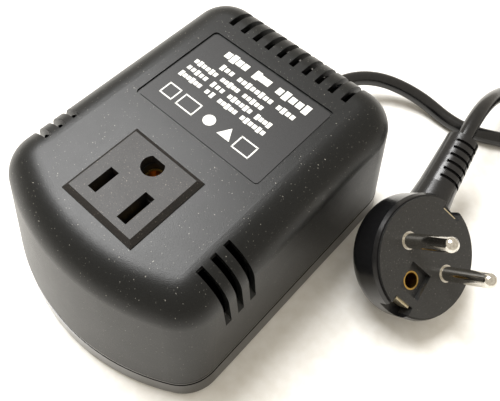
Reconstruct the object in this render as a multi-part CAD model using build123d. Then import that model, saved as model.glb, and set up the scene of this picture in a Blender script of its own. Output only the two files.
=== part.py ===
from build123d import *
from math import atan2, cos, pi, radians, sin, sqrt, tan
import os

# Step-down autotransformer in a plastic case: a fixed 2:1 tapped winding on an EI core, a flat-blade
# outlet in the lid and a mains lead with an angled earthed plug. Millimetres, +Z up, the outlet end
# towards -Y and the lead leaving the +Y end. The origin is the middle of the case on the table.

os.makedirs("parts", exist_ok=True)

# ---------------------------------------------------------------- driving dimensions
# Case
CASE_WIDTH = 87.0           # at table level, before the walls lean in
CASE_LENGTH = 116.2
CASE_HEIGHT = 52.0          # table to the flat top
CASE_LEAN = 0.104           # how far each wall leans in, per mm of height
FRONT_EXTRA_LEAN = 0.115    # added to it in the shell's bowed front
REAR_EXTRA_LEAN = -0.045    # and in the shell's back, which stands more upright
CORNER_R = 13.2             # corners in plan
FRONT_ARC_R = 73.0          # bow of the outlet end in plan
SHOULDER_R = 11.6           # round from the walls into the flat top
SHELL_WALL = 2.2
TRAY_WALL = 3.4
TRAY_FLOOR = 2.2
TRAY_EDGE_CHAMFER = 0.7
FOOT_STANDOFF = 0.8         # gap under the tray
SHELL_BOTTOM_Z = 11.0
REVEAL_GAP = 0.8            # shadow line between shell and tray
REVEAL_DEPTH = 1.2
BEAD_HEIGHT = 0.8           # thin raised bead under the shadow line
BEAD_INSET = 0.15
BEAD_GROOVE_HEIGHT = 0.6
BEAD_GROOVE_DEPTH = 0.8
LIP_HEIGHT = 2.6            # tray tongue that stands up inside the shell
LIP_CLEARANCE = 0.15

# Air slots
SIDE_SLOT_WIDTH = 2.3
SIDE_SLOT_PITCH = 5.0
SIDE_SLOT_COUNT = 3
SIDE_SLOT_MIDDLE_Y = -22.4
SIDE_SLOT_START_X = 29.6
SIDE_SLOT_END_Z = 31.0
REAR_SLOT_WIDTH = 2.0
REAR_SLOT_PITCH = 5.12
REAR_SLOT_COUNT = 10
REAR_SLOT_START_Y = 40.9
REAR_SLOT_END_Z = 42.0

# Rating label in its recess
LABEL_WIDTH = 48.7
LABEL_LENGTH = 35.1
LABEL_MIDDLE_Y = 17.85
LABEL_CORNER_R = 1.5
LABEL_RECESS_DEPTH = 0.5
LABEL_THICKNESS = 0.25
LABEL_MARGIN = 0.7

# Outlet for flat-blade plugs
OUTLET_WIDTH = 27.0
OUTLET_LENGTH = 26.9
OUTLET_MIDDLE_Y = -22.15
OUTLET_PROUD = 1.8
OUTLET_BEVEL = 1.5
OUTLET_FACE_THICKNESS = 3.2
OUTLET_FLANGE_OVERLAP = 1.2
OUTLET_BODY_WALL = 1.2
OUTLET_BODY_DEPTH = 20.0
OUTLET_FIT = 0.15
BLADE_SPACING = 12.7
BLADE_LINE_Y = -26.9
EARTH_HOLE_Y = -15.0
SHORT_BLADE_SLOT = (3.1, 8.2)
LONG_BLADE_SLOT = (3.4, 10.2)
EARTH_HOLE_R = 3.4
EARTH_HOLE_FLAT = 2.4       # from the hole's middle to its flat side
CONTACT_SHEET = 0.6
CONTACT_HEIGHT = 14.0
CONTACT_WIDTH = 6.0
BLADE_GAP = 1.5             # between the two leaves of a contact
EARTH_CONTACT_R = 2.4

# Fixings
PILLAR_R = 3.7
PILLAR_FRONT = (31.5, -40.5)
PILLAR_REAR = (33.6, 47.2)
PILLAR_JOINT_Z = 14.0
SCREW_R = 1.5
SCREW_HEAD_R = 2.8
SCREW_HEAD_HEIGHT = 2.0
SCREW_HEAD_Z = 6.0          # top of the counterbore
SCREW_TIP_Z = 25.0
SCREW_SLOT = 0.8
FOOT_R = 4.5
FOOT_RECESS = 0.9
FOOT_FRONT = (27.0, -30.0)
FOOT_REAR = (31.5, 34.5)

# Core, winding and coil former
CORE_WIDTH = 60.0
CORE_LEG = 10.0
CORE_WINDOW = 10.0
CORE_MIDDLE_Y = 19.0
WINDING_AIR_GAP = 2.4       # over and under the outer tape, to the roof and to the tray's floor
LAMINATION_GAP = 0.1
FORMER_WALL = 1.0
FORMER_FIT = 0.2
FORMER_FLANGE = 1.2
COMMON_BUILD = 4.0
SERIES_BUILD = 3.2
TAPE = 0.3
FLANGE_RIM = 0.2            # the former's ends stand this far over the outer tape
WINDING_BUILD = FORMER_FIT + FORMER_WALL + COMMON_BUILD + SERIES_BUILD + 2 * TAPE
INNER_HEIGHT = CASE_HEIGHT - SHELL_WALL - TRAY_FLOOR - FOOT_STANDOFF
CORE_STACK = INNER_HEIGHT - 2 * (WINDING_BUILD + WINDING_AIR_GAP)   # 24 mm, what the case's height leaves
WINDING_CORNER_R = 2.0
TAG_COUNT = 4
TAG_PITCH = 7.0
TAG_SIZE = (1.6, 7.5, 0.6)
TAG_HEIGHT = 5.8            # above the core
CORE_SCREW_R = 1.7
CORE_SCREW_HEAD_R = 3.2
CORE_SCREW_HEAD_HEIGHT = 2.0
CORE_SCREW_BITE = 9.0
CORE_WASHER_R = 4.2
CORE_WASHER = 0.8
CORE_POST_R = 4.2
FUSE_R = 1.9
FUSE_LENGTH = 11.0
FUSE_SLEEVE = 0.35
FUSE_SLEEVE_LENGTH = 17.0
FUSE_LEAD_R = 0.45

# Mains lead and its gland
CORD_R = 2.9
CORD_CORE_R = 1.1
CORD_EXIT_Z = 11.0
GLAND_TIP_Y = 69.2
GLAND_INNER_Y = 49.1
GLAND_NECK_R = 4.6
GLAND_FLANGE_R = 6.4
GLAND_FLANGE = 1.8
GLAND_COLLAR_R = 6.0
GLAND_ROOT_R = 5.2
GLAND_TIP_R = 3.9
GLAND_FIT = 0.05
CLAMP_BAR = (20.0, 4.4, 2.4)
CLAMP_MIDDLE_Y = 46.8
CLAMP_SCREW_X = 6.8
CLAMP_SCREW_R = 1.2
CLAMP_SCREW_HEAD = (2.3, 1.4)
CLAMP_SCREW_BITE = 7.0

# Put-away coil of the lead
COIL_MIDDLE = (101.0, 150.0)
COIL_OUTER_TURN_R = 41.8
COIL_INNER_TURN_R = 24.4
COIL_LAYER_RISE = 5.8
TIE_WIDTH = 4.0
TIE_THICKNESS = 0.6
TIE_ANGLE = 20.0

# Plug
PLUG_MIDDLE = (CASE_WIDTH / 2 + 26.55, 32.4, 22.9)
PLUG_PIN_LINE = (0.772, 0.262, -0.579)
PLUG_PIN_OUT = (0.612, -0.060, 0.789)
PIN_R = 2.4
PIN_LENGTH = 19.0
PIN_SPACING = 19.0
PIN_ROOT = 9.0              # held in the plug, and thicker than the pin
PIN_ROOT_R = 2.9
CARRIER_R = 19.2
CARRIER_THICKNESS = 5.0
PLUG_RIM_R = 20.4
PLUG_RIM_DEPTH = 9.0
PLUG_BACK_DEPTH = 19.0
EARTH_SOCKET_R = 2.5
EARTH_SOCKET_WALL = 0.5
EARTH_SOCKET_OFFSET = 8.8
EARTH_SOCKET_LENGTH = 11.0
EARTH_POCKET = (9.0, 9.0)
EARTH_POCKET_DEPTH = 2.0
CLIP_WIDTH = 6.0
CLIP_BRIDGE_WIDTH = 9.0
CLIP_THICKNESS = 0.8
CLIP_NOTCH_WIDTH = 8.0
CLIP_NOTCH_DEPTH = 3.0
NECK_AXIS_DEPTH = 12.5
NECK_ROOT_R = 8.3
NECK_R = 6.6
RELIEF_TIP_R = 5.8
NECK_START = 10.0
NECK_SHOULDER = 27.0
RELIEF_END = 47.5
RELIEF_GROOVES = 6
RELIEF_GROOVE_PITCH = 3.0
RELIEF_GROOVE_WIDTH = 1.1
RELIEF_GROOVE_DEPTH = 1.3

# Free stretches of the lead: corners of straight runs, chosen by hand
FLOOR_Z = CORD_R + 0.05
CASE_TO_COIL = [
    (0.0, GLAND_TIP_Y, CORD_EXIT_Z),
    (0.0, 76.2, CORD_EXIT_Z),
    (1.9, 83.3, 10.8),
    (5.9, 90.2, 10.0),
    (11.8, 95.8, 8.7),
    (19.3, 99.6, 7.0),
    (27.3, 101.8, 5.2),
    (33.2, 102.3, 4.0),
    (38.9, 102.0, 3.2),
    (45.3, 102.0, FLOOR_Z),
    (51.7, 103.3, FLOOR_Z),
    (57.7, 105.8, FLOOR_Z),
    (63.1, 108.8, 3.0),
    (69.8, 111.2, 3.1),
    (77.3, 112.1, 3.3),
    (85.5, 111.2, 3.5),
]
COIL_TO_PLUG = [
    (65.0, 150.0, 9.3),
    (61.2, 142.5, 9.2),
    (57.9, 135.0, 9.4),
    (55.2, 127.3, 11.0),
    (53.3, 119.6, 14.2),
    (52.1, 112.0, 17.8),
    (51.6, 104.4, 21.3),
    (51.8, 95.8, 24.0),
]
RELIEF_TAIL = 7.5           # straight run out of the plug, along its lead axis


# ---------------------------------------------------------------- helpers
def case_outline(height, inset):
    """Plan outline of the case at one height: bowed front, straight sides and back, round corners."""
    half_width = CASE_WIDTH / 2 - CASE_LEAN * height - inset
    shell_height = max(0.0, height - SHELL_BOTTOM_Z)
    front = CASE_LENGTH / 2 - CASE_LEAN * height - FRONT_EXTRA_LEAN * shell_height - inset
    end = CASE_LENGTH / 2 - CASE_LEAN * height - REAR_EXTRA_LEAN * shell_height - inset
    corner = CORNER_R - inset
    bow = FRONT_ARC_R - inset
    bow_middle = bow - front
    corner_x = half_width - corner
    corner_y = bow_middle - sqrt((bow - corner) ** 2 - corner_x**2)
    turn = atan2(corner_y - bow_middle, corner_x)
    side_start = Vector(half_width, corner_y, height)
    corner_mid = Vector(corner_x + corner * cos(turn / 2), corner_y + corner * sin(turn / 2), height)
    bow_start = Vector(bow * cos(turn), bow_middle + bow * sin(turn), height)
    rear_side = Vector(half_width, end - corner, height)
    rear_mid = Vector(corner_x + corner * cos(pi / 4), end - corner + corner * sin(pi / 4), height)
    rear_end = Vector(corner_x, end, height)

    def mirrored(point):
        return Vector(-point.X, point.Y, point.Z)

    edges = [
        Edge.make_three_point_arc(mirrored(bow_start), Vector(0, -front, height), bow_start),
        Edge.make_three_point_arc(bow_start, corner_mid, side_start),
        Edge.make_line(side_start, rear_side),
        Edge.make_three_point_arc(rear_side, rear_mid, rear_end),
        Edge.make_line(rear_end, mirrored(rear_end)),
        Edge.make_three_point_arc(mirrored(rear_end), mirrored(rear_mid), mirrored(rear_side)),
        Edge.make_line(mirrored(rear_side), mirrored(side_start)),
        Edge.make_three_point_arc(mirrored(side_start), mirrored(corner_mid), mirrored(bow_start)),
    ]
    return Face(Wire(edges))


def case_form(low, high, inset=0.0, round_top=False):
    """Solid between two heights of the case outline, its upper edge rounded on request."""
    outlines = [case_outline(height, inset).outer_wire() for height in (low, high)]
    form = Solid.make_loft(outlines, True)
    if round_top:
        top_edges = form.edges().group_by(Axis.Z)[-1]
        form = form.fillet(SHOULDER_R - inset, top_edges)
    return Part() + form


def block(size, middle):
    """Box of a size about its middle."""
    return Pos(*middle) * Box(*size)


def post(radius, low, high, place):
    """Upright round post."""
    return Pos(place[0], place[1], (low + high) / 2) * Cylinder(radius, high - low)


def four_places(front, rear):
    """The same two places on both sides."""
    return [(side * x, y) for side in (1, -1) for x, y in (front, rear)]


def largest_radii(points, share=0.45):
    """For each corner of a route, the largest arc that the shorter of its two runs allows."""
    radii = []
    for before, corner, after in zip(points, points[1:], points[2:]):
        run_in = Vector(*corner) - Vector(*before)
        run_out = Vector(*after) - Vector(*corner)
        half_turn = radians(run_in.get_angle(run_out)) / 2
        radii.append(share * min(run_in.length, run_out.length) / tan(half_turn))
    return radii


def round_tube(points, radius, name=None):
    """Solid round tube along straight runs joined by tangent arcs."""
    radii = largest_radii(points)
    path = FilletPolyline(*points, radius=radii)
    section = Plane(origin=path @ 0, z_dir=path % 0) * Circle(radius)
    tube = sweep(section, path=path)
    if name:
        exact = pi * radius**2 * path.length
        print(name, "length", round(path.length, 1), "volume ratio", round(tube.volume / exact, 4),
              "radii in diameters", [round(r / (2 * radius), 1) for r in radii])
    return tube


def ring_band(outer, inner, length, corner_r):
    """Rectangular sleeve round the core's middle leg, its axis along Y."""
    outside = RectangleRounded(outer[0], outer[1], corner_r + (outer[0] - inner[0]) / 2)
    inside = RectangleRounded(inner[0], inner[1], corner_r)
    return Rot(90, 0, 0) * extrude(outside - inside, amount=length / 2, both=True)


nodes = {}

# ---------------------------------------------------------------- tray
tray_top = SHELL_BOTTOM_Z - REVEAL_GAP
bead_bottom = tray_top - BEAD_HEIGHT
wall_top = bead_bottom - BEAD_GROOVE_HEIGHT
tray_floor_top = FOOT_STANDOFF + TRAY_FLOOR
lip_top = SHELL_BOTTOM_Z + LIP_HEIGHT
roof_z = CASE_HEIGHT - SHELL_WALL
core_middle_z = (tray_floor_top + roof_z) / 2
core_low_z = core_middle_z - CORE_STACK / 2
core_high_z = core_middle_z + CORE_STACK / 2
core_depth = CORE_LEG * 2 + CORE_WINDOW * 3
cord_jacket_end_y = CORE_MIDDLE_Y + core_depth / 2 - 1.0
core_screw_x = CORE_WIDTH / 2 - CORE_LEG / 2
core_screw_ys = (CORE_MIDDLE_Y + (core_depth - CORE_LEG) / 2, CORE_MIDDLE_Y - (core_depth - CORE_LEG) / 2)
core_screw_places = [(side * core_screw_x, y) for side in (1, -1) for y in core_screw_ys]
pillar_places = four_places(PILLAR_FRONT, PILLAR_REAR)
foot_places = four_places(FOOT_FRONT, FOOT_REAR)
clamp_low_z = CORD_EXIT_Z + CORD_R


def make_tray():
    tray = case_form(FOOT_STANDOFF, wall_top)
    tray = chamfer(tray.edges().group_by(Axis.Z)[0], TRAY_EDGE_CHAMFER)
    tray += case_form(wall_top, bead_bottom, BEAD_GROOVE_DEPTH)
    tray += case_form(bead_bottom, tray_top, BEAD_INSET)
    tray += case_form(tray_top, lip_top, SHELL_WALL + LIP_CLEARANCE)
    tray -= case_form(tray_floor_top, lip_top + 1, TRAY_WALL)
    for place in pillar_places:
        tray += post(PILLAR_R, FOOT_STANDOFF, PILLAR_JOINT_Z, place)
        tray -= post(SCREW_HEAD_R + 0.3, 0, SCREW_HEAD_Z, place)
        tray -= post(SCREW_R, 0, PILLAR_JOINT_Z + 1, place)
    for place in core_screw_places:
        tray += post(CORE_POST_R, tray_floor_top - 0.5, core_low_z, place)
        tray -= post(CORE_SCREW_R, core_low_z - CORE_SCREW_BITE, core_low_z + 1, place)
    for place in foot_places:
        tray -= post(FOOT_R, 0, FOOT_STANDOFF + FOOT_RECESS, place)
    saddle_height = CORD_EXIT_Z - tray_floor_top + 0.5
    saddle_middle = (0, CLAMP_MIDDLE_Y, CORD_EXIT_Z - saddle_height / 2)
    tray += block((CLAMP_BAR[0], CLAMP_BAR[1], saddle_height), saddle_middle)
    for side in (1, -1):
        screw_post_x = side * (CLAMP_BAR[0] / 4 + CORD_R / 2 + 0.05)
        post_width = CLAMP_BAR[0] / 2 - CORD_R - 0.1
        post_middle = (screw_post_x, CLAMP_MIDDLE_Y, (CORD_EXIT_Z + clamp_low_z) / 2)
        tray += block((post_width, CLAMP_BAR[1], clamp_low_z - CORD_EXIT_Z), post_middle)
        screw_place = (side * CLAMP_SCREW_X, CLAMP_MIDDLE_Y)
        tray -= post(CLAMP_SCREW_R, clamp_low_z - CLAMP_SCREW_BITE, clamp_low_z + 1, screw_place)
    tray -= Pos(0, CASE_LENGTH / 2 - 7, CORD_EXIT_Z) * Rot(90, 0, 0) * Cylinder(CORD_R, 30)
    tray -= Pos(0, CASE_LENGTH / 2, CORD_EXIT_Z) * Rot(90, 0, 0) * Cylinder(GLAND_NECK_R + GLAND_FIT, 12)
    return tray


nodes["base_tray"] = make_tray()

# ---------------------------------------------------------------- shell
outlet_hole = (OUTLET_WIDTH - 2 * OUTLET_FLANGE_OVERLAP, OUTLET_LENGTH - 2 * OUTLET_FLANGE_OVERLAP)


def air_slot(width, start, wall, end_z):
    """Cutter for one air slot along +X: upright at its start, its lower end sloping out through the wall."""
    inner_z = min(end_z + wall - start, roof_z - 1)
    low = end_z - 3
    top = CASE_HEIGHT + 1
    profile = Polyline((start, top), (start, inner_z), (wall + 3, low), (wall + 3, top), close=True)
    return extrude(Plane.XZ * make_face(profile), amount=width / 2, both=True)


def make_shell():
    shell = case_form(SHELL_BOTTOM_Z, CASE_HEIGHT, round_top=True)
    cavity = case_form(SHELL_BOTTOM_Z, roof_z, SHELL_WALL, round_top=True)
    shell -= cavity
    for place in pillar_places:
        boss = post(PILLAR_R, PILLAR_JOINT_Z + 0.2, CASE_HEIGHT, place)
        shell += boss & case_form(SHELL_BOTTOM_Z, CASE_HEIGHT - 0.5, 0.5, round_top=True)
        shell -= post(SCREW_R, PILLAR_JOINT_Z, SCREW_TIP_Z + 1.5, place)
    shell -= block((*outlet_hole, 4 * SHELL_WALL), (0, OUTLET_MIDDLE_Y, CASE_HEIGHT))
    recess = extrude(RectangleRounded(LABEL_WIDTH, LABEL_LENGTH, LABEL_CORNER_R), amount=5)
    shell -= Pos(0, LABEL_MIDDLE_Y, CASE_HEIGHT - LABEL_RECESS_DEPTH) * recess
    side_wall = CASE_WIDTH / 2 - CASE_LEAN * SIDE_SLOT_END_Z
    rear_wall = CASE_LENGTH / 2 - CASE_LEAN * REAR_SLOT_END_Z
    side_slot = air_slot(SIDE_SLOT_WIDTH, SIDE_SLOT_START_X, side_wall, SIDE_SLOT_END_Z)
    rear_slot = air_slot(REAR_SLOT_WIDTH, REAR_SLOT_START_Y, rear_wall, REAR_SLOT_END_Z)
    for index in range(SIDE_SLOT_COUNT):
        y = SIDE_SLOT_MIDDLE_Y + (index - (SIDE_SLOT_COUNT - 1) / 2) * SIDE_SLOT_PITCH
        shell -= Pos(0, y, 0) * side_slot
        shell -= Pos(0, y, 0) * Rot(0, 0, 180) * side_slot
    for index in range(REAR_SLOT_COUNT):
        x = (index - (REAR_SLOT_COUNT - 1) / 2) * REAR_SLOT_PITCH
        shell -= Pos(x, 0, 0) * Rot(0, 0, 90) * rear_slot
    shell -= Pos(0, CASE_LENGTH / 2, CORD_EXIT_Z) * Rot(90, 0, 0) * Cylinder(GLAND_NECK_R + GLAND_FIT, 12)
    return shell


nodes["upper_shell"] = make_shell()

# ---------------------------------------------------------------- case hardware
def make_case_screws():
    screws = Part()
    for place in pillar_places:
        head = post(SCREW_HEAD_R, SCREW_HEAD_Z - SCREW_HEAD_HEIGHT, SCREW_HEAD_Z, place)
        head_low = (*place, SCREW_HEAD_Z - SCREW_HEAD_HEIGHT)
        head -= block((2 * SCREW_HEAD_R, SCREW_SLOT, SCREW_SLOT * 2), head_low)
        head -= block((SCREW_SLOT, 2 * SCREW_HEAD_R, SCREW_SLOT * 2), head_low)
        screws += head + post(SCREW_R, SCREW_HEAD_Z, SCREW_TIP_Z, place)
    return screws


def make_feet():
    feet = Part()
    for place in foot_places:
        foot = post(FOOT_R, 0, FOOT_STANDOFF + FOOT_RECESS, place)
        feet += fillet(foot.edges().group_by(Axis.Z)[0], FOOT_STANDOFF / 2)
    return feet


def make_label():
    width = LABEL_WIDTH - 2 * LABEL_MARGIN
    length = LABEL_LENGTH - 2 * LABEL_MARGIN
    outline = RectangleRounded(width, length, LABEL_CORNER_R - LABEL_MARGIN / 2)
    return Pos(0, LABEL_MIDDLE_Y, CASE_HEIGHT - LABEL_RECESS_DEPTH) * extrude(outline, amount=LABEL_THICKNESS)


nodes["case_screws"] = make_case_screws()
nodes["rubber_feet"] = make_feet()
nodes["rating_label"] = make_label()

# ---------------------------------------------------------------- outlet
outlet_top_z = CASE_HEIGHT + OUTLET_PROUD
face_low_z = outlet_top_z - OUTLET_FACE_THICKNESS
body_low_z = CASE_HEIGHT - OUTLET_BODY_DEPTH
skirt_outer = (outlet_hole[0] - 2 * OUTLET_FIT, outlet_hole[1] - 2 * OUTLET_FIT)
skirt_inner = (skirt_outer[0] - 2 * OUTLET_BODY_WALL, skirt_outer[1] - 2 * OUTLET_BODY_WALL)
carrier_size = (skirt_inner[0] - 2 * OUTLET_FIT, skirt_inner[1] - 2 * OUTLET_FIT)
carrier_floor = 2.0
carrier_top_z = face_low_z - OUTLET_FIT
contact_low_z = body_low_z + carrier_floor
blade_x = BLADE_SPACING / 2
tail_length = 5.0
tail_width = 3.0


def upright(sketch, low, high, place=(0, 0)):
    """Flat shape raised between two heights."""
    return Pos(place[0], place[1], low) * extrude(sketch, amount=high - low)


def earth_hole():
    """Round hole with one flat side, the flat towards +Y."""
    flat_side = Pos(0, EARTH_HOLE_R + EARTH_HOLE_FLAT) * Rectangle(4 * EARTH_HOLE_R, 2 * EARTH_HOLE_R)
    return Circle(EARTH_HOLE_R) - flat_side


def make_outlet_face():
    face = upright(Rectangle(OUTLET_WIDTH, OUTLET_LENGTH), CASE_HEIGHT, outlet_top_z, (0, OUTLET_MIDDLE_Y))
    face = chamfer(face.edges().group_by(Axis.Z)[-1], OUTLET_BEVEL)
    face += upright(Rectangle(*skirt_outer), body_low_z, CASE_HEIGHT, (0, OUTLET_MIDDLE_Y))
    face -= upright(Rectangle(*skirt_inner), body_low_z - 1, face_low_z, (0, OUTLET_MIDDLE_Y))
    for side in (1, -1):
        wedge = Polyline((0, 0), (0.8, 0), (0, -3.0), close=True)
        lug = extrude(Plane.XZ * make_face(wedge), amount=3, both=True)
        lug = Pos(skirt_outer[0] / 2, 0, roof_z - 0.1) * lug
        face += Pos(0, OUTLET_MIDDLE_Y, 0) * (lug if side > 0 else Rot(0, 0, 180) * lug)
    for side, slot in ((-1, SHORT_BLADE_SLOT), (1, LONG_BLADE_SLOT)):
        face -= upright(Rectangle(*slot), face_low_z - 1, outlet_top_z + 1, (side * blade_x, BLADE_LINE_Y))
    face -= upright(earth_hole(), face_low_z - 1, outlet_top_z + 1, (0, EARTH_HOLE_Y))
    return face


def make_contact_carrier():
    carrier = upright(Rectangle(*carrier_size), body_low_z, carrier_top_z, (0, OUTLET_MIDDLE_Y))
    chamber_width = BLADE_GAP + 2 * CONTACT_SHEET + 1.2
    for side in (1, -1):
        chamber = Rectangle(chamber_width, SHORT_BLADE_SLOT[1] + 1.0)
        carrier -= upright(chamber, contact_low_z, carrier_top_z + 1, (side * blade_x, BLADE_LINE_Y))
        tail = Rectangle(CONTACT_SHEET, tail_width)
        carrier -= upright(tail, body_low_z - 1, contact_low_z + 1, (side * blade_x, BLADE_LINE_Y))
    earth_chamber_r = EARTH_CONTACT_R + CONTACT_SHEET + 0.15
    carrier -= post(earth_chamber_r, contact_low_z, carrier_top_z + 1, (0, EARTH_HOLE_Y))
    earth_tail = Rectangle(tail_width, CONTACT_SHEET)
    carrier -= upright(earth_tail, body_low_z - 1, contact_low_z + 1, (0, EARTH_HOLE_Y))
    return carrier


def make_blade_contact(side):
    place = (side * blade_x, BLADE_LINE_Y)
    outer_width = BLADE_GAP + 2 * CONTACT_SHEET
    tail = Rectangle(CONTACT_SHEET, tail_width)
    high = contact_low_z + CONTACT_HEIGHT
    contact = upright(Rectangle(outer_width, CONTACT_WIDTH), contact_low_z, high, place)
    blade_gap = Rectangle(BLADE_GAP, CONTACT_WIDTH + 1)
    contact -= upright(blade_gap, contact_low_z + CONTACT_SHEET, high + 1, place)
    contact += upright(tail, body_low_z - tail_length, contact_low_z + 0.1, place)
    return contact


def make_earth_contact():
    place = (0, EARTH_HOLE_Y)
    high = contact_low_z + CONTACT_HEIGHT
    contact = post(EARTH_CONTACT_R + CONTACT_SHEET, contact_low_z, high, place)
    contact -= post(EARTH_CONTACT_R, contact_low_z + CONTACT_SHEET, high + 1, place)
    split = Rectangle(1.0, 4 * EARTH_CONTACT_R)
    contact -= upright(split, contact_low_z + 3, high + 1, (0, EARTH_HOLE_Y - 2 * EARTH_CONTACT_R))
    tail = Rectangle(tail_width, CONTACT_SHEET)
    contact += upright(tail, body_low_z - tail_length, contact_low_z + 0.1, place)
    return contact


nodes["outlet_face"] = make_outlet_face()
nodes["outlet_contact_carrier"] = make_contact_carrier()
nodes["outlet_line_contact"] = make_blade_contact(1)
nodes["outlet_neutral_contact"] = make_blade_contact(-1)
nodes["outlet_earth_contact"] = make_earth_contact()

# ---------------------------------------------------------------- core and winding
core_front_y = CORE_MIDDLE_Y - core_depth / 2
window_front_y = core_front_y + CORE_LEG
window_length = 3 * CORE_WINDOW
leg = (2 * CORE_LEG, CORE_STACK)
former_inner = (leg[0] + 2 * FORMER_FIT, leg[1] + 2 * FORMER_FIT)
former_outer = (former_inner[0] + 2 * FORMER_WALL, former_inner[1] + 2 * FORMER_WALL)
common_outer = (former_outer[0] + 2 * COMMON_BUILD, former_outer[1] + 2 * COMMON_BUILD)
inner_tape_outer = (common_outer[0] + 2 * TAPE, common_outer[1] + 2 * TAPE)
series_outer = (inner_tape_outer[0] + 2 * SERIES_BUILD, inner_tape_outer[1] + 2 * SERIES_BUILD)
outer_tape_outer = (series_outer[0] + 2 * TAPE, series_outer[1] + 2 * TAPE)
former_length = window_length - 2 * 0.3
winding_length = former_length - 2 * FORMER_FLANGE
former_middle = Pos(0, window_front_y + window_length / 2, core_middle_z)
tag_z = core_high_z + TAG_HEIGHT
tag_xs = [(index - (TAG_COUNT - 1) / 2) * TAG_PITCH for index in range(TAG_COUNT)]
former_front_y = window_front_y + 0.3


def make_core_e():
    depth = core_depth - CORE_LEG - LAMINATION_GAP
    core = block((CORE_WIDTH, depth, CORE_STACK), (0, core_front_y + depth / 2, core_middle_z))
    for side in (1, -1):
        window_x = side * (CORE_LEG + CORE_WINDOW / 2)
        window = (CORE_WINDOW, window_length + 2, CORE_STACK + 2)
        core -= block(window, (window_x, window_front_y + window_length / 2 + 1, core_middle_z))
    for place in core_screw_places:
        core -= post(CORE_SCREW_R + 0.2, core_low_z - 1, core_high_z + 1, place)
    return core


def make_core_i():
    middle_y = core_front_y + core_depth - CORE_LEG / 2
    core = block((CORE_WIDTH, CORE_LEG, CORE_STACK), (0, middle_y, core_middle_z))
    for place in core_screw_places:
        core -= post(CORE_SCREW_R + 0.2, core_low_z - 1, core_high_z + 1, place)
    return core


def make_former():
    former = ring_band(former_outer, former_inner, former_length, 0.5)
    flange_outer = (2 * (CORE_LEG + CORE_WINDOW) - 0.6, outer_tape_outer[1] + 2 * FLANGE_RIM)
    flange = ring_band(flange_outer, former_inner, FORMER_FLANGE, 0.5)
    for end in (1, -1):
        former += Pos(0, end * (former_length - FORMER_FLANGE) / 2, 0) * flange
    former = former_middle * former
    for x in tag_xs:
        tag_hole = (TAG_SIZE[0], FORMER_FLANGE, TAG_SIZE[2])
        former -= block(tag_hole, (x, former_front_y + FORMER_FLANGE / 2, tag_z))
    return former


def make_tags():
    tags = Part()
    for x in tag_xs:
        middle_y = former_front_y + FORMER_FLANGE - TAG_SIZE[1] / 2
        tags += block(TAG_SIZE, (x, middle_y, tag_z))
    return tags


def make_core_screws():
    screws = Part()
    head_low = core_high_z + CORE_WASHER
    head_high = head_low + CORE_SCREW_HEAD_HEIGHT
    for place in core_screw_places:
        head = post(CORE_SCREW_HEAD_R, head_low, head_high, place)
        head -= block((2 * CORE_SCREW_HEAD_R, SCREW_SLOT, SCREW_SLOT * 2), (*place, head_high))
        screws += head + post(CORE_SCREW_R, core_low_z - CORE_SCREW_BITE, head_low, place)
    return screws


def make_core_washers():
    washers = Part()
    for place in core_screw_places:
        washer = post(CORE_WASHER_R, core_high_z, core_high_z + CORE_WASHER, place)
        washers += washer - post(CORE_SCREW_R, core_high_z - 1, core_high_z + CORE_WASHER + 1, place)
    return washers


nodes["core_e_laminations"] = make_core_e()
nodes["core_i_laminations"] = make_core_i()
nodes["coil_former"] = make_former()
corner_r = WINDING_CORNER_R / 2
for name, outer, inner, thickness in (
    ("common_winding", common_outer, former_outer, COMMON_BUILD),
    ("inner_winding_tape", inner_tape_outer, common_outer, TAPE),
    ("series_winding", series_outer, inner_tape_outer, SERIES_BUILD),
    ("outer_winding_tape", outer_tape_outer, series_outer, TAPE),
):
    nodes[name] = former_middle * ring_band(outer, inner, winding_length, corner_r)
    corner_r += thickness
nodes["winding_tags"] = make_tags()
nodes["core_screws"] = make_core_screws()
nodes["core_washers"] = make_core_washers()

# ---------------------------------------------------------------- thermal fuse
fuse_y = core_front_y + 2.4
fuse_z = core_high_z + FUSE_R + FUSE_SLEEVE + 0.05


def along_x(radius, low, high):
    """Round bar along X on the fuse's axis."""
    return Pos((low + high) / 2, fuse_y, fuse_z) * Rot(0, 90, 0) * Cylinder(radius, high - low)


def make_fuse():
    lead_end = FUSE_SLEEVE_LENGTH / 2 + 1.0
    return along_x(FUSE_R, -FUSE_LENGTH / 2, FUSE_LENGTH / 2) + along_x(FUSE_LEAD_R, -lead_end, lead_end)


def make_fuse_sleeve():
    half = FUSE_SLEEVE_LENGTH / 2
    return along_x(FUSE_R + FUSE_SLEEVE, -half, half) - along_x(FUSE_R, -half - 1, half + 1)


nodes["thermal_fuse"] = make_fuse()
nodes["thermal_fuse_sleeve"] = make_fuse_sleeve()

# ---------------------------------------------------------------- internal leads
fuse_lead_x = FUSE_SLEEVE_LENGTH / 2 + 1.0
tag_end_y = former_front_y + FORMER_FLANGE - TAG_SIZE[1]
riser_y = (core_front_y + OUTLET_MIDDLE_Y + skirt_outer[1] / 2) / 2
tail_low_z = body_low_z - tail_length
core_offset = CORD_CORE_R / cos(pi / 6) + 0.05
line_start = (core_offset * cos(pi / 6), cord_jacket_end_y, CORD_EXIT_Z - core_offset / 2)
neutral_start = (0.0, cord_jacket_end_y, CORD_EXIT_Z + core_offset)
earth_start = (-core_offset * cos(pi / 6), cord_jacket_end_y, CORD_EXIT_Z - core_offset / 2)

lead_straight = 3.0         # straight run at each soldered or jacketed end


def lead(start, start_run, middle, end_run, end, radius):
    """Insulated wire with a straight run at both ends, each given as a direction away from its end."""
    first = tuple(place + lead_straight * step for place, step in zip(start, start_run))
    last = tuple(place + lead_straight * step for place, step in zip(end, end_run))
    return round_tube([start, first, *middle, last, end], radius)


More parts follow.
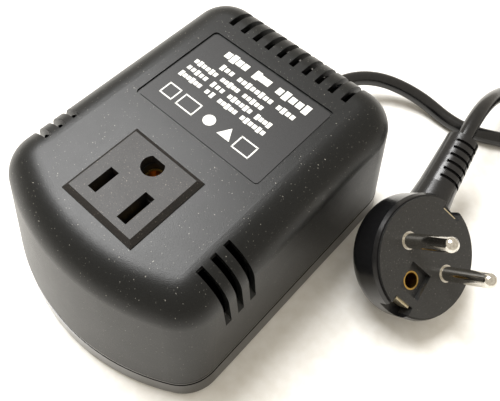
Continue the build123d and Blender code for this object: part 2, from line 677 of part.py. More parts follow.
line_middle = [
    (4.0, 37.5, 8.0), (12.5, 37.2, 6.2), (21.8, 31.5, 5.6), (26.0, 21.0, 5.6), (23.5, 9.0, 5.6),
    (17.0, 0.0, 6.0), (14.5, -7.0, 9.5), (13.5, riser_y, core_low_z + 5.6),
    (14.6, riser_y, core_high_z - 5.4), (15.5, riser_y, core_high_z + 2.4),
]
neutral_middle = [
    (3.6, 37.0, 12.2), (11.0, 37.4, 10.8), (20.2, 36.0, 9.4), (24.6, 30.0, 8.8), (28.2, 21.5, 8.8),
    (24.0, 9.0, 8.8), (18.0, -1.0, 8.8), (18.4, riser_y - 0.2, 13.0), (19.5, riser_y, core_middle_z - 0.4),
    (19.5, riser_y, core_high_z - 1.4), (18.5, riser_y, tag_z - 0.4),
]
earth_middle = [
    (-4.2, 37.5, 8.2), (-12.5, 37.2, 6.4), (-21.8, 31.5, 6.0), (-26.0, 21.0, 6.0), (-23.5, 9.0, 6.0),
    (-16.5, 0.0, 6.6), (-9.0, -7.0, 9.5), (-2.5, -12.5, tail_low_z - 13.0),
]
to_front = (0, -1, 0)
nodes["line_lead"] = lead(
    line_start, to_front, line_middle, (1, 0, 0), (fuse_lead_x, fuse_y, fuse_z), CORD_CORE_R
)
nodes["neutral_lead"] = lead(
    neutral_start, to_front, neutral_middle, to_front, (tag_xs[-1], tag_end_y, tag_z), CORD_CORE_R
)
nodes["earth_lead"] = lead(
    earth_start, to_front, earth_middle, (0, 0, -1), (0.0, EARTH_HOLE_Y, tail_low_z), CORD_CORE_R
)
nodes["fuse_link"] = round_tube([
    (-fuse_lead_x, fuse_y, fuse_z), (-fuse_lead_x - 1.2, fuse_y, fuse_z), (tag_xs[0], tag_end_y - 1.6, tag_z),
    (tag_xs[0], tag_end_y, tag_z),
], FUSE_LEAD_R)
for name, side in (("outlet_line_lead", 1), ("outlet_neutral_lead", -1)):
    outlet_middle = [
        (side * 3.8, riser_y - 0.4, tag_z - 2.7), (side * 4.2, riser_y - 0.2, body_low_z + 2.0),
        (side * 5.0, -11.0, tail_low_z - 2.0), (side * 6.1, -19.5, tail_low_z - 6.5),
    ]
    nodes[name] = lead(
        (side * tag_xs[2], tag_end_y, tag_z), to_front, outlet_middle, (0, 0, -1),
        (side * blade_x, BLADE_LINE_Y, tail_low_z), CORD_CORE_R * 0.8,
    )

# ---------------------------------------------------------------- gland and cord clamp
def along_y(radius, low, high, x=0.0, z=CORD_EXIT_Z):
    """Round bar along Y."""
    return Pos(x, (low + high) / 2, z) * Rot(90, 0, 0) * Cylinder(radius, high - low)


def make_gland():
    wall_outside = CASE_LENGTH / 2 - CASE_LEAN * (CORD_EXIT_Z - GLAND_FLANGE_R)
    wall_inside = wall_outside - TRAY_WALL - 2 * CASE_LEAN * GLAND_FLANGE_R - 0.2
    gland = along_y(GLAND_COLLAR_R, GLAND_INNER_Y, wall_inside)
    gland += along_y(GLAND_NECK_R, wall_inside - 0.1, wall_outside + 0.1)
    gland += along_y(GLAND_FLANGE_R, wall_outside + 0.05, wall_outside + GLAND_FLANGE)
    sleeve_start = wall_outside + GLAND_FLANGE
    sleeve = Cone(GLAND_ROOT_R, GLAND_TIP_R, GLAND_TIP_Y - sleeve_start)
    gland += Pos(0, (sleeve_start + GLAND_TIP_Y) / 2, CORD_EXIT_Z) * Rot(-90, 0, 0) * sleeve
    gland -= along_y(CORD_R, GLAND_INNER_Y - 1, GLAND_TIP_Y + 1)
    return gland


def make_clamp_bar():
    bar = block(CLAMP_BAR, (0, CLAMP_MIDDLE_Y, clamp_low_z + CLAMP_BAR[2] / 2))
    for side in (1, -1):
        bar -= post(CLAMP_SCREW_R, clamp_low_z - 1, clamp_low_z + 5, (side * CLAMP_SCREW_X, CLAMP_MIDDLE_Y))
    return bar


def make_clamp_screws():
    screws = Part()
    top = clamp_low_z + CLAMP_BAR[2]
    for side in (1, -1):
        place = (side * CLAMP_SCREW_X, CLAMP_MIDDLE_Y)
        screw = post(CLAMP_SCREW_HEAD[0], top, top + CLAMP_SCREW_HEAD[1], place)
        screw -= block((2 * CLAMP_SCREW_HEAD[0], SCREW_SLOT, SCREW_SLOT), (*place, top + CLAMP_SCREW_HEAD[1]))
        screws += screw + post(CLAMP_SCREW_R, clamp_low_z - CLAMP_SCREW_BITE, top, place)
    return screws


nodes["cord_gland"] = make_gland()
nodes["cord_clamp_bar"] = make_clamp_bar()
nodes["cord_clamp_screws"] = make_clamp_screws()
nodes["power_cord_held_end"] = along_y(CORD_R, cord_jacket_end_y, GLAND_TIP_Y)

# ---------------------------------------------------------------- plug
plug_place = Location(Plane(origin=PLUG_MIDDLE, x_dir=PLUG_PIN_LINE, z_dir=PLUG_PIN_OUT))


def along_neck(start_r, end_r, start, end):
    """Round taper along the plug's lead axis."""
    taper = Cone(start_r, end_r, end - start) if start_r != end_r else Cylinder(start_r, end - start)
    return Pos(0, (start + end) / 2, -NECK_AXIS_DEPTH) * Rot(-90, 0, 0) * taper


def make_pins():
    pins = Part()
    for side in (1, -1):
        pin = Pos(0, 0, PIN_LENGTH / 2) * Cylinder(PIN_R, PIN_LENGTH)
        pin = fillet(pin.edges().group_by(Axis.Z)[-1], PIN_R - 0.05)
        pin += Pos(0, 0, -PIN_ROOT / 2) * Cylinder(PIN_ROOT_R, PIN_ROOT)
        pins += Pos(side * PIN_SPACING / 2, 0, 0) * pin
    return pins


def make_earth_socket():
    outer = EARTH_SOCKET_R + EARTH_SOCKET_WALL
    tube = Cylinder(outer, EARTH_SOCKET_LENGTH) - Cylinder(EARTH_SOCKET_R, EARTH_SOCKET_LENGTH + 1)
    return Pos(0, -EARTH_SOCKET_OFFSET, -EARTH_POCKET_DEPTH - EARTH_SOCKET_LENGTH / 2) * tube


def clip_notches():
    notch_y = CARRIER_R - CLIP_NOTCH_DEPTH / 2 + 2
    notch = (CLIP_NOTCH_WIDTH, CLIP_NOTCH_DEPTH + 4, 2 * CARRIER_THICKNESS)
    return block(notch, (0, notch_y, 0)) + block(notch, (0, -notch_y, 0))


def make_earth_strap():
    clip_y = CARRIER_R - CLIP_NOTCH_DEPTH + CLIP_THICKNESS / 2
    bridge_z = -CARRIER_THICKNESS - CLIP_THICKNESS / 2
    strap = block((CLIP_WIDTH, 2 * clip_y + CLIP_THICKNESS, CLIP_THICKNESS), (0, 0, bridge_z))
    strap += block((CLIP_BRIDGE_WIDTH, 2 * clip_y - CLIP_BRIDGE_WIDTH / 2, CLIP_THICKNESS), (0, 0, bridge_z))
    leg_high = -0.8
    for side in (1, -1):
        leg_length = leg_high + CARRIER_THICKNESS + CLIP_THICKNESS
        clip = (CLIP_WIDTH, CLIP_THICKNESS, leg_length)
        strap += block(clip, (0, side * clip_y, leg_high - leg_length / 2))
    strap -= Pos(0, -EARTH_SOCKET_OFFSET, bridge_z) * Cylinder(EARTH_SOCKET_R + EARTH_SOCKET_WALL, 4)
    return strap


def make_pin_carrier():
    carrier = Pos(0, 0, -CARRIER_THICKNESS / 2) * Cylinder(CARRIER_R, CARRIER_THICKNESS)
    carrier -= clip_notches()
    pocket = (*EARTH_POCKET, 2 * EARTH_POCKET_DEPTH)
    carrier -= block(pocket, (0, -EARTH_SOCKET_OFFSET, 0))
    socket_hole = Cylinder(EARTH_SOCKET_R + EARTH_SOCKET_WALL, 4 * CARRIER_THICKNESS)
    carrier -= Pos(0, -EARTH_SOCKET_OFFSET, 0) * socket_hole
    for side in (1, -1):
        carrier -= Pos(side * PIN_SPACING / 2, 0, 0) * Cylinder(PIN_ROOT_R, 4 * CARRIER_THICKNESS)
    return carrier


def make_overmould():
    rim_top = -0.8
    back = -PLUG_BACK_DEPTH
    rim_low = (PLUG_RIM_R, -PLUG_RIM_DEPTH)
    profile = make_face([
        Line((0, rim_top), (PLUG_RIM_R - 0.6, rim_top)),
        Line((PLUG_RIM_R - 0.6, rim_top), (PLUG_RIM_R, rim_top - 1.2)),
        Line((PLUG_RIM_R, rim_top - 1.2), rim_low),
        Spline(rim_low, (0, back), tangents=[(0, -1), (-1, 0)], tangent_scalars=[0.9, 1.6]),
        Line((0, back), (0, rim_top)),
    ])
    body = revolve(Plane.XZ * profile, Axis.Z)
    body += along_neck(NECK_ROOT_R, NECK_R, NECK_START, NECK_SHOULDER)
    body += along_neck(NECK_R, RELIEF_TIP_R, NECK_SHOULDER, RELIEF_END)
    body -= Pos(0, 0, 5 - CARRIER_THICKNESS) * Cylinder(CARRIER_R, 10)
    body -= clip_notches()
    for index in range(RELIEF_GROOVES):
        middle = NECK_SHOULDER + 2.4 + index * RELIEF_GROOVE_PITCH
        half_groove = RELIEF_GROOVE_WIDTH / 2
        ring = along_neck(NECK_R + 2, NECK_R + 2, middle - half_groove, middle + half_groove)
        core_r = NECK_R - RELIEF_GROOVE_DEPTH - index * 0.08
        ring -= along_neck(core_r, core_r, middle - 1, middle + 1)
        for side in (1, -1):
            window_z = -NECK_AXIS_DEPTH + side * (NECK_R + 1.2)
            body -= ring & block((1.5 * NECK_R, 2, NECK_R * 2), (0, middle, window_z))
    body -= along_neck(CORD_R, CORD_R, NECK_SHOULDER, RELIEF_END + 1)
    body -= make_pins()
    body -= make_earth_strap()
    socket_length = EARTH_SOCKET_LENGTH + EARTH_POCKET_DEPTH
    socket_hole = Cylinder(EARTH_SOCKET_R + EARTH_SOCKET_WALL, socket_length)
    body -= Pos(0, -EARTH_SOCKET_OFFSET, -socket_length / 2) * socket_hole
    return body


nodes["plug_pins"] = plug_place * make_pins()
nodes["plug_earth_socket"] = plug_place * make_earth_socket()
nodes["plug_earth_strap"] = plug_place * make_earth_strap()
nodes["plug_pin_carrier"] = plug_place * make_pin_carrier()
nodes["plug_overmould"] = plug_place * make_overmould()

# ---------------------------------------------------------------- free lead
relief_tip = tuple((plug_place * Pos(0, RELIEF_END, -NECK_AXIS_DEPTH)).position)
relief_tail = tuple((plug_place * Pos(0, RELIEF_END + RELIEF_TAIL, -NECK_AXIS_DEPTH)).position)
plug_route = [*COIL_TO_PLUG, relief_tail, relief_tip]
print("relief tail and tip", [[round(value, 1) for value in place] for place in (relief_tail, relief_tip)])
coil_low_z = TIE_THICKNESS + 0.05
coil_height = 2 * CORD_R + COIL_LAYER_RISE
coil_outer_r = COIL_OUTER_TURN_R + CORD_R
coil_inner_r = COIL_INNER_TURN_R - CORD_R


def make_coil():
    return post(coil_outer_r, coil_low_z, coil_low_z + coil_height, COIL_MIDDLE) - post(
        coil_inner_r, coil_low_z - 1, coil_low_z + coil_height + 1, COIL_MIDDLE
    )


def make_tie():
    section = (coil_outer_r - coil_inner_r, coil_height)
    outer = (section[0] + 2 * TIE_THICKNESS, section[1] + 2 * TIE_THICKNESS)
    band = ring_band(outer, section, TIE_WIDTH, 0.3)
    middle_r = (coil_outer_r + coil_inner_r) / 2
    band = Pos(middle_r, 0, coil_low_z + coil_height / 2) * band
    return Pos(*COIL_MIDDLE, 0) * Rot(0, 0, TIE_ANGLE) * band - make_coil()


nodes["power_cord_coil"] = make_coil()
nodes["cord_tie"] = make_tie()
nodes["power_cord"] = round_tube(CASE_TO_COIL, CORD_R, "case to coil") - make_coil()
nodes["power_cord_to_plug"] = round_tube(plug_route, CORD_R, "coil to plug") - make_coil()

for name, shape in nodes.items():
    shape.label = name
    export_step(shape, f"parts/{name}.step")
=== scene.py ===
from math import cos, pi, radians, sin

import bpy
from mathutils import Matrix, Vector


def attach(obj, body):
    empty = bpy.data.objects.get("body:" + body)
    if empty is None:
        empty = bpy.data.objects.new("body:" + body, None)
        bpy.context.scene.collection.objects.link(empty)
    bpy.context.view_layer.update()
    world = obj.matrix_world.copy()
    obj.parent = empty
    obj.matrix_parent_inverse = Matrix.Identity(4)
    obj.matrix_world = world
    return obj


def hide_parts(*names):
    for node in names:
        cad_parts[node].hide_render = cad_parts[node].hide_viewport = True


# A step-down autotransformer in a two-part plastic case: a fixed 2:1 tapped winding on an EI core, a
# flat-blade outlet in the lid and a mains lead with an angled earthed plug. Metres, +Z up.

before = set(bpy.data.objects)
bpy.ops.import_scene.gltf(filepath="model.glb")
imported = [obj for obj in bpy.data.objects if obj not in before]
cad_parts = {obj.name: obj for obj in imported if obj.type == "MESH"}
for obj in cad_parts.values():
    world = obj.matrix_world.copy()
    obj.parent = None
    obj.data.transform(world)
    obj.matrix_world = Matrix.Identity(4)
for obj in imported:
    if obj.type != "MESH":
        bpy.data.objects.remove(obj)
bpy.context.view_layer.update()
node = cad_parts
scene = bpy.context.scene
mm = 0.001

# ---------------------------------------------------------------- bench top, light and camera
# A white bench top under one soft light that hangs high on the left, in a warm white room. The
# camera looks down over the front right corner of the case.


def to_linear(code):
    """An sRGB hex colour as the linear colour that a shader works with."""
    channels = [int(code[at : at + 2], 16) / 255 for at in (0, 2, 4)]
    return [c / 12.92 if c <= 0.04045 else ((c + 0.055) / 1.055) ** 2.4 for c in channels] + [1.0]


def add(tree, kind, **settings):
    """Adds a shader node and sets its properties."""
    made = tree.nodes.new(kind)
    for name, value in settings.items():
        setattr(made, name, value)
    return made


def textured(name, dark, light, roughness, grain, bump, metallic=0.0, stretch=(1, 1, 1)):
    """A surface that wanders between two colours at one grain size in mm, with a fine bump in mm."""
    material = bpy.data.materials.new(name)
    material.use_nodes = True
    tree = material.node_tree
    shader = tree.nodes["Principled BSDF"]
    shader.inputs["Metallic"].default_value = metallic
    place = add(tree, "ShaderNodeTexCoord")
    mapping = add(tree, "ShaderNodeMapping")
    mapping.inputs["Scale"].default_value = [share / (grain * mm) for share in stretch]
    tree.links.new(place.outputs["Object"], mapping.inputs["Vector"])
    noise = add(tree, "ShaderNodeTexNoise")
    noise.inputs["Scale"].default_value = 1.0
    noise.inputs["Detail"].default_value = 5.0
    tree.links.new(mapping.outputs["Vector"], noise.inputs["Vector"])
    colours = add(tree, "ShaderNodeValToRGB")
    colours.color_ramp.elements[0].position = 0.35
    colours.color_ramp.elements[0].color = to_linear(dark)
    colours.color_ramp.elements[1].position = 0.68
    colours.color_ramp.elements[1].color = to_linear(light)
    tree.links.new(noise.outputs["Fac"], colours.inputs["Fac"])
    tree.links.new(colours.outputs["Color"], shader.inputs["Base Color"])
    wear = add(tree, "ShaderNodeTexNoise")
    wear.inputs["Scale"].default_value = 140.0
    wear.inputs["Detail"].default_value = 4.0
    tree.links.new(place.outputs["Object"], wear.inputs["Vector"])
    gloss = add(tree, "ShaderNodeMapRange")
    gloss.inputs["To Min"].default_value = roughness * 0.92
    gloss.inputs["To Max"].default_value = roughness * 1.08
    tree.links.new(wear.outputs["Fac"], gloss.inputs["Value"])
    tree.links.new(gloss.outputs["Result"], shader.inputs["Roughness"])
    relief = add(tree, "ShaderNodeBump")
    relief.inputs["Strength"].default_value = 0.6
    relief.inputs["Distance"].default_value = bump * mm
    tree.links.new(noise.outputs["Fac"], relief.inputs["Height"])
    tree.links.new(relief.outputs["Normal"], shader.inputs["Normal"])
    return material


def sprinkle(material, colour, size, share):
    """Scatters specks of another colour over a textured material; size in mm, share from 0 to 1."""
    tree = material.node_tree
    shader = tree.nodes["Principled BSDF"]
    place = next(n for n in tree.nodes if n.bl_idname == "ShaderNodeTexCoord")
    under = shader.inputs["Base Color"].links[0].from_socket
    cells = add(tree, "ShaderNodeTexNoise")
    cells.inputs["Scale"].default_value = 1 / (size * mm)
    cells.inputs["Detail"].default_value = 1.0
    tree.links.new(place.outputs["Object"], cells.inputs["Vector"])
    picked = add(tree, "ShaderNodeMapRange")
    picked.inputs["From Min"].default_value = 1.0 - share
    picked.inputs["From Max"].default_value = 1.06 - share
    tree.links.new(cells.outputs["Fac"], picked.inputs["Value"])
    mix = add(tree, "ShaderNodeMix", data_type="RGBA")
    mix.inputs["B"].default_value = to_linear(colour)
    tree.links.new(picked.outputs["Result"], mix.inputs["Factor"])
    tree.links.new(under, mix.inputs["A"])
    tree.links.new(mix.outputs["Result"], shader.inputs["Base Color"])


def band(material, colour, direction, pitch, depth):
    """Adds fine parallel lines of a darker colour, such as wire turns or sheet edges; sizes in mm."""
    tree = material.node_tree
    shader = tree.nodes["Principled BSDF"]
    place = next(n for n in tree.nodes if n.bl_idname == "ShaderNodeTexCoord")
    under = shader.inputs["Base Color"].links[0].from_socket
    relief = shader.inputs["Normal"].links[0].from_node
    lines = add(tree, "ShaderNodeTexWave", bands_direction=direction)
    lines.inputs["Scale"].default_value = 0.314 / (pitch * mm)
    lines.inputs["Distortion"].default_value = 0.3
    tree.links.new(place.outputs["Object"], lines.inputs["Vector"])
    gap = add(tree, "ShaderNodeMapRange")
    gap.inputs["From Max"].default_value = 0.35
    tree.links.new(lines.outputs["Fac"], gap.inputs["Value"])
    mix = add(tree, "ShaderNodeMix", data_type="RGBA")
    mix.inputs["A"].default_value = to_linear(colour)
    tree.links.new(gap.outputs["Result"], mix.inputs["Factor"])
    tree.links.new(under, mix.inputs["B"])
    tree.links.new(mix.outputs["Result"], shader.inputs["Base Color"])
    turns = add(tree, "ShaderNodeBump")
    turns.inputs["Strength"].default_value = 0.8
    turns.inputs["Distance"].default_value = depth * mm
    tree.links.new(lines.outputs["Fac"], turns.inputs["Height"])
    tree.links.new(relief.outputs["Normal"], turns.inputs["Normal"])
    tree.links.new(turns.outputs["Normal"], shader.inputs["Normal"])


def dull(material):
    """Weakens the mirror part of a surface whose fine texture breaks it up."""
    material.node_tree.nodes["Principled BSDF"].inputs["Specular IOR Level"].default_value = 0.28


def dress(material, *names):
    """Gives one material to CAD pieces."""
    for name in names:
        node[name].data.materials.clear()
        node[name].data.materials.append(material)


bpy.ops.object.select_all(action="DESELECT")
bpy.ops.mesh.primitive_plane_add(size=6, location=(0, 0, 0))
bench = bpy.context.object
bench.name = "bench_top"
# White laminate: faint mottling, a soft sheen.
bench.data.materials.append(textured("White laminate", "EDEBE6", "F6F5F2", 0.55, 4.0, 0.02))

world = bpy.data.worlds.new("White room")
world.use_nodes = True
scene.world = world
world.node_tree.nodes["Background"].inputs["Color"].default_value = to_linear("FFF6E6")
world.node_tree.nodes["Background"].inputs["Strength"].default_value = 0.75

lamp_data = bpy.data.lights.new("overhead_light", "AREA")
lamp_data.energy = 15
lamp_data.size = 0.5
lamp = bpy.data.objects.new("overhead_light", lamp_data)
scene.collection.objects.link(lamp)
lamp.location = (-0.42, 0.1, 0.82)
lamp.rotation_euler = (Vector((0, 0, 0)) - lamp.location).to_track_quat("-Z", "Y").to_euler()

scene.view_settings.view_transform = "Standard"

camera_data = bpy.data.cameras.new("camera")
camera_data.lens = 40.72
camera_data.sensor_width = 36
camera = bpy.data.objects.new("camera", camera_data)
scene.collection.objects.link(camera)
aim = Vector((-0.3071, 0.3944, -0.8661))
turned = aim.to_track_quat("-Z", "Y").to_matrix() @ Matrix.Rotation(radians(4.756), 3, "Z")
camera.matrix_world = Matrix.Translation((72.425 * mm, -63.853 * mm, 183.398 * mm)) @ turned.to_4x4()
scene.camera = camera

# ---------------------------------------------------------------- case
# The upper shell is moulded in black ABS with a spark-eroded satin texture that holds dust. The tray is
# polished black ABS. Four screws come up through the tray, and four rubber feet are glued under it.
spark_abs = textured("Spark textured black ABS", "0A0B0B", "151616", 0.36, 0.28, 0.06)
sprinkle(spark_abs, "8A8880", 0.45, 0.27)
dull(spark_abs)
dress(spark_abs, "upper_shell")
polished_abs = textured("Polished black ABS", "0A0A0B", "121213", 0.08, 1.5, 0.003)
sprinkle(polished_abs, "5A5854", 0.6, 0.2)
dress(polished_abs, "base_tray")
dress(textured("Bright zinc plate", "9A9DA2", "BFC2C6", 0.3, 0.3, 0.01, metallic=1.0), "case_screws")
dress(textured("Black foot rubber", "101010", "1C1C1B", 0.8, 0.5, 0.06), "rubber_feet")

# ---------------------------------------------------------------- rating label
# A dark textured film in its recess, printed in white. The printing is plain bars and shapes, a stand-in
# for lines of print, and is a layer 0.03 mm thick on the film.
film = textured("Dark textured label film", "1B1B1C", "2A2A2B", 0.45, 0.2, 0.03)
sprinkle(film, "7A7872", 0.45, 0.2)
dull(film)
dress(film, "rating_label")

PRINT_Z = 51.765
PRINT_THICKNESS = 0.03
WORD_GAP = 0.7              # as a share of the line's height
SYMBOL_ROW_Y = 8.0
SYMBOL_HEIGHT = 4.6
SYMBOL_LINE = 0.45


def print_block(x, y, width, height):
    """One rectangle of ink, while the printing is being edited."""
    place = (x * mm, y * mm, PRINT_Z * mm)
    bpy.ops.mesh.primitive_cube_add(size=mm, location=place, scale=(width, height, PRINT_THICKNESS))


def print_disc(x, y, radius, sides):
    """One round or pointed mark of ink."""
    place = (x * mm, y * mm, PRINT_Z * mm)
    bpy.ops.mesh.primitive_cylinder_add(
        vertices=sides, radius=radius * mm, depth=PRINT_THICKNESS * mm, location=place
    )


bpy.ops.object.select_all(action="DESELECT")
bpy.ops.mesh.primitive_cube_add(size=mm)
printing = bpy.context.object
printing.name = "label_printing"
bpy.ops.object.mode_set(mode="EDIT")
bpy.ops.mesh.delete(type="VERT")
# Each line: its place up the label, the height of its print, where it starts, and its words' lengths.
lines = (
    (30.6, 3.6, -15.5, (9.5, 6.5, 13.0)),
    (25.6, 2.4, -13.0, (5.5, 14.0, 7.0)),
    (21.9, 2.2, -20.5, (9.5, 7.5, 8.0)),
    (18.6, 2.2, -20.5, (8.5, 5.5, 9.5, 6.0)),
    (15.3, 2.2, -20.5, (9.0, 4.0, 7.5, 9.5)),
)
for middle_y, height, start_x, words in lines:
    x = start_x
    letter = height * 0.66
    for word in words:
        count = round(word / (letter + 0.15))
        for index in range(count):
            tall = height * (0.72 if (index * 5 + round(word)) % 3 else 1.0)
            print_block(x + (index + 0.5) * word / count, middle_y, letter * 0.86, tall)
        x += word + WORD_GAP * height
for x, width in ((-17.0, 4.6), (-9.4, 6.4), (13.0, 6.0)):
    for side in (-1, 1):
        print_block(x + side * width / 2, SYMBOL_ROW_Y, SYMBOL_LINE, SYMBOL_HEIGHT)
        print_block(x, SYMBOL_ROW_Y + side * SYMBOL_HEIGHT / 2, width + SYMBOL_LINE, SYMBOL_LINE)
print_disc(-1.0, SYMBOL_ROW_Y, 2.0, 32)
print_disc(6.0, SYMBOL_ROW_Y - 0.4, 2.8, 3)
bpy.ops.object.mode_set(mode="OBJECT")
# White screen ink: slightly uneven, matt.
printing.data.materials.append(textured("White screen ink", "C9CAC6", "E6E6E2", 0.6, 0.4, 0.004))
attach(printing, "root")

# ---------------------------------------------------------------- outlet
# The raised face is a dark grey-brown moulding with a sparkle texture. Behind it a black moulding holds
# folded brass contacts.
outlet_plastic = textured("Dark outlet moulding", "161514", "2A2725", 0.45, 0.3, 0.06)
sprinkle(outlet_plastic, "6E675F", 0.35, 0.31)
dull(outlet_plastic)
dress(outlet_plastic, "outlet_face")
dress(textured("Black contact moulding", "080808", "101010", 0.6, 0.5, 0.02), "outlet_contact_carrier")
brass = textured("Brass strip", "B8924A", "D2B065", 0.28, 0.4, 0.008, metallic=1.0, stretch=(1, 1, 0.15))
dress(brass, "outlet_line_contact", "outlet_neutral_contact", "outlet_earth_contact", "plug_earth_socket")

# ---------------------------------------------------------------- core and winding
# Stacked EI sheets of oxide-grey silicon steel, screwed to four posts. The winding is enamelled copper in
# two layers on a nylon former, taped in yellow polyester, with tinned tags on the front flange.
sheets = textured(
    "Silicon steel sheets", "55585C", "74777B", 0.42, 0.6, 0.01, metallic=1.0, stretch=(0.2, 0.2, 1)
)
band(sheets, "26282A", "Z", 0.5, 0.05)
dress(sheets, "core_e_laminations", "core_i_laminations")
nylon = textured("Natural nylon", "BFB59A", "D6CDB4", 0.45, 1.2, 0.01)
dress(nylon, "coil_former", "cord_clamp_bar")
copper = textured("Enamelled copper wire", "7A3216", "A9522A", 0.25, 0.5, 0.01, metallic=1.0)
band(copper, "35130A", "Y", 0.62, 0.2)
dress(copper, "common_winding", "series_winding")
tape = textured("Yellow polyester tape", "C08E1C", "D8A832", 0.35, 0.8, 0.02)
band(tape, "96701A", "Y", 9.0, 0.06)
dress(tape, "inner_winding_tape", "outer_winding_tape")
tinned = textured("Tinned strip", "A9A8A4", "CFCDC8", 0.3, 0.3, 0.01, metallic=1.0)
dress(tinned, "winding_tags", "fuse_link")
steel_screw = textured("Zinc plated core screw", "9498A0", "B9BDC4", 0.33, 0.25, 0.012, metallic=1.0)
dress(steel_screw, "core_screws", "core_washers", "cord_clamp_screws")

# ---------------------------------------------------------------- thermal fuse and inner leads
# A metal-cased thermal fuse in woven glass sleeving lies against the winding, in series with the line
# lead. The leads are PVC covered wires with a faint extrusion ripple.
fuse_case = textured("Fuse case, plain aluminium", "9C9D9E", "BDBEBF", 0.35, 0.3, 0.01, metallic=1.0)
dress(fuse_case, "thermal_fuse")
sleeving = textured("Woven glass sleeving", "B9B4A4", "DEDACD", 0.85, 0.35, 0.1)
band(sleeving, "8F8A7C", "X", 0.7, 0.15)
dress(sleeving, "thermal_fuse_sleeve")
dress(textured("Brown wire PVC", "3A1D0E", "50291A", 0.4, 0.6, 0.02), "line_lead")
dress(textured("Blue wire PVC", "17407E", "2455A0", 0.4, 0.6, 0.02), "neutral_lead", "outlet_neutral_lead")
earth_pvc = textured("Green and yellow wire PVC", "2F7A22", "3F9030", 0.4, 0.6, 0.02)
band(earth_pvc, "D2B81E", "X", 6.0, 0.0)
dress(earth_pvc, "earth_lead")
dress(textured("Black wire PVC", "0C0C0C", "161616", 0.4, 0.6, 0.02), "outlet_line_lead")

# ---------------------------------------------------------------- mains lead
# One glossy black PVC lead. It leaves the tapered sleeve at the back of the case, is put away in two
# layers of loose turns, and rises into the plug's strain relief.
CORD_R = 2.9 * mm
COIL_MIDDLE = (101.0, 150.0)
TURN_POINTS = 14
CASE_TO_COIL = [
    (0.0, 69.2, 11.0),
    (0.0, 76.2, 11.0),
    (1.9, 83.3, 10.8),
    (5.9, 90.2, 10.0),
    (11.8, 95.8, 8.7),
    (19.3, 99.6, 7.0),
    (27.3, 101.8, 5.2),
    (33.2, 102.3, 4.0),
    (38.9, 102.0, 3.2),
    (45.3, 102.0, 2.95),
    (51.7, 103.3, 2.95),
    (57.7, 105.8, 2.95),
    (63.1, 108.8, 3.0),
    (69.8, 111.2, 3.1),
    (77.3, 112.1, 3.3),
    (85.5, 111.2, 3.5),
]
COIL_TO_PLUG = [
    (65.0, 150.0, 9.3),
    (61.2, 142.5, 9.2),
    (57.9, 135.0, 9.4),
    (55.2, 127.3, 11.0),
    (53.3, 119.6, 14.2),
    (52.1, 112.0, 17.8),
    (51.6, 104.4, 21.3),
    (51.8, 95.8, 24.0),
    (52.9, 86.1, 24.4),
    (54.2, 78.9, 22.9),
]
# Three turns on the bench that wind inwards, a short rise, then the upper layer winding outwards. Each
# has its count of points, its first radius, its change of radius, and its first and last height.
layers = (
    (3 * TURN_POINTS + 1, 41.8, -17.4, 3.55, 3.55),
    (3, 24.4, 0.0, 5.0, 7.9),
    (20, 24.4, 7.9, 9.35, 9.35),
)
route = [Vector(place) * mm for place in CASE_TO_COIL]
angle = radians(-100)
for count, radius, change, low, high in layers:
    for index in range(count):
        share = index / (count - 1)
        reach = radius + change * share
        x = COIL_MIDDLE[0] + reach * cos(angle)
        y = COIL_MIDDLE[1] + reach * sin(angle)
        route.append(Vector((x, y, low + (high - low) * share)) * mm)
        angle += 2 * pi / TURN_POINTS
route += [Vector(place) * mm for place in COIL_TO_PLUG]

curve = bpy.data.curves.new("mains_lead", "CURVE")
curve.dimensions = "3D"
curve.bevel_depth = CORD_R
curve.bevel_resolution = 6
curve.use_fill_caps = True
spline = curve.splines.new("NURBS")
spline.points.add(len(route) - 1)
for point, place in zip(spline.points, route):
    point.co = (*place, 1)
spline.order_u = 3
spline.use_endpoint_u = True
spline.resolution_u = 6
lead = bpy.data.objects.new("mains_lead", curve)
scene.collection.objects.link(lead)
gloss_pvc = textured("Glossy black cord PVC", "0B0B0C", "141415", 0.2, 1.4, 0.03)
sprinkle(gloss_pvc, "4A4844", 0.5, 0.18)
lead.data.materials.append(gloss_pvc)
dress(gloss_pvc, "cord_gland", "power_cord_held_end", "power_cord", "power_cord_coil", "power_cord_to_plug")
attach(lead, "root")
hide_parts("power_cord", "power_cord_coil", "power_cord_to_plug")

# ---------------------------------------------------------------- cord tie
# One flat plastic covered strip, closed on itself, pulled tight round both layers of the put-away turns
# on one side of the coil.
TIE_HALF_WIDTH = 2.0
TIE_THICKNESS = 0.6
TIE_ANGLE = radians(20)
TIE_REACH = 2.95            # from the middle of a turn of the lead to the strip
ARC_POINTS = 8
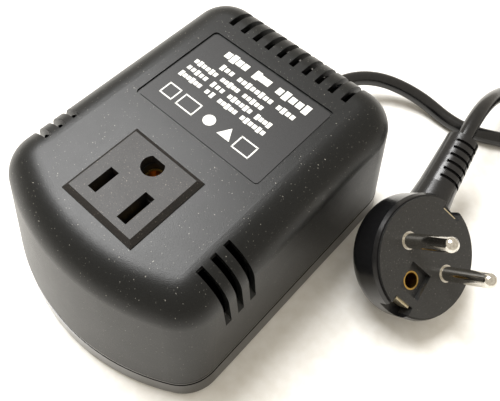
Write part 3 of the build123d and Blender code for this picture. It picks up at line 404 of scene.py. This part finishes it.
# Each corner turn of the strip: the lead's distance from the coil's middle and height there, and the
# arc's first and last angle in degrees.
corners = ((28.3, 3.55, 212, 270), (39.9, 3.55, -90, 58), (30.5, 9.35, 58, 90), (24.7, 9.35, 90, 212))
loop = []
for reach, height, first, last in corners:
    for index in range(ARC_POINTS):
        turned_by = radians(first + (last - first) * index / (ARC_POINTS - 1))
        loop.append((reach + TIE_REACH * cos(turned_by), height + TIE_REACH * sin(turned_by)))
strip = bpy.data.curves.new("tie_strip", "CURVE")
strip.dimensions = "2D"
strip.fill_mode = "NONE"
strip.extrude = TIE_HALF_WIDTH * mm
path = strip.splines.new("POLY")
path.points.add(len(loop) - 1)
for point, (reach, height) in zip(path.points, loop):
    point.co = (reach * mm, height * mm, 0, 1)
path.use_cyclic_u = True
tie = bpy.data.objects.new("cord_tie_strip", strip)
scene.collection.objects.link(tie)
bpy.ops.object.select_all(action="DESELECT")
tie.select_set(True)
bpy.context.view_layer.objects.active = tie
bpy.ops.object.convert(target="MESH")
thicken = tie.modifiers.new("thickness", "SOLIDIFY")
thicken.thickness = TIE_THICKNESS * mm
thicken.offset = 1.0
bpy.ops.object.modifier_apply(modifier=thicken.name)
tie.rotation_euler = (radians(90), 0, TIE_ANGLE)
tie.location = (COIL_MIDDLE[0] * mm, COIL_MIDDLE[1] * mm, 0)
bpy.ops.object.transform_apply(location=True, rotation=True, scale=True)
bpy.ops.object.shade_smooth_by_angle(angle=radians(30))
# Soft black plastic over a wire.
tie_plastic = textured("Plastic covered tie", "0E0E0E", "1A1A1A", 0.5, 0.4, 0.03)
tie.data.materials.append(tie_plastic)
dress(tie_plastic, "cord_tie")
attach(tie, "root")
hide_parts("cord_tie")

# ---------------------------------------------------------------- plug
# Black PVC moulded over a stiff speckled carrier, bright nickel-plated pins, and a tinned earth strip
# whose ends show in two notches.
plug_pvc = textured("Moulded black plug PVC", "0D0D0E", "161617", 0.22, 0.8, 0.02)
sprinkle(plug_pvc, "55534E", 0.5, 0.2)
dress(plug_pvc, "plug_overmould")
plug_face = textured("Speckled black pin carrier", "1A1A1A", "2A2A29", 0.36, 0.4, 0.04)
sprinkle(plug_face, "7C7972", 0.4, 0.28)
dress(plug_face, "plug_pin_carrier")
dress(textured("Bright nickel plate", "C9C5BD", "E2DFD8", 0.14, 0.6, 0.004, metallic=1.0), "plug_pins")
dress(textured("Tinned spring strip", "C9BD9C", "E4DAC0", 0.3, 0.5, 0.01, metallic=1.0), "plug_earth_strap")

# ---------------------------------------------------------------- final view layer update
bpy.context.view_layer.update()
